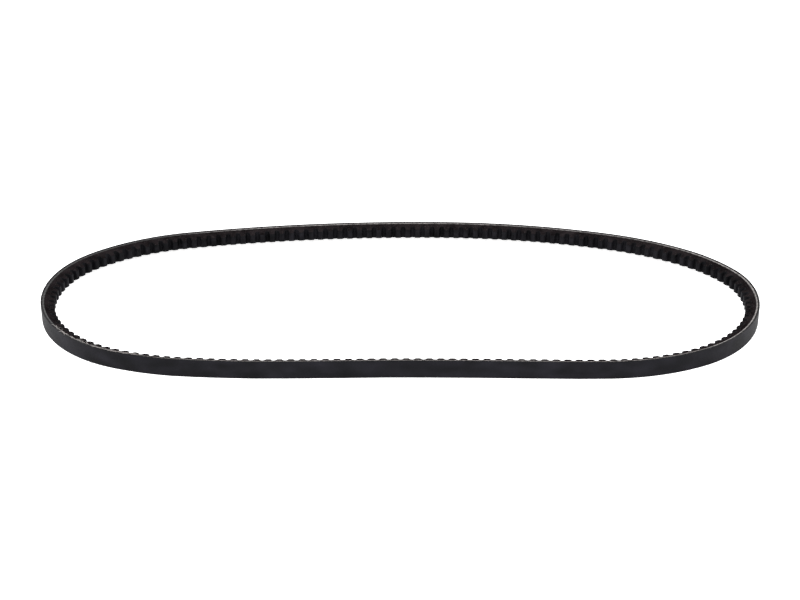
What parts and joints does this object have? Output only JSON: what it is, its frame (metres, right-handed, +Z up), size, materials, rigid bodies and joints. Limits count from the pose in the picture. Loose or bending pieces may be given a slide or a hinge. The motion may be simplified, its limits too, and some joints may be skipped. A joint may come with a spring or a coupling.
{
  "type": "v belt",
  "caption": "Endless raw-edge cogged V-belt, standing on one edge as an oval loop, for wedging into the grooves of drive pulleys.",
  "frame": {"origin": "middle of the loop's bounding box, at the level of the edge it stands on", "axes": "+X along the loop's longest extent, +Y from the straighter front run to the rear run, +Z up across the belt's width"},
  "size_m": [0.4218, 0.1924, 0.0105],
  "materials": {
    "back_fabric": "matt rubberised canvas",
    "gum_rubber": "ground matt edge",
    "cord": "twisted polyester, cut at the flanks",
    "compression_rubber": "fibre-filled, ground matt edge",
    "cog_fabric": "rubberised canvas, moulded"
  },
  "bodies": {
    "root": {"back_fabric": "back_fabric", "extension_rubber": "gum_rubber", "upper_adhesion_rubber": "gum_rubber", "tension_cord": "cord", "lower_adhesion_rubber": "gum_rubber", "compression_rubber": "compression_rubber", "cog_fabric": "cog_fabric"}
  },
  "joints": []
}
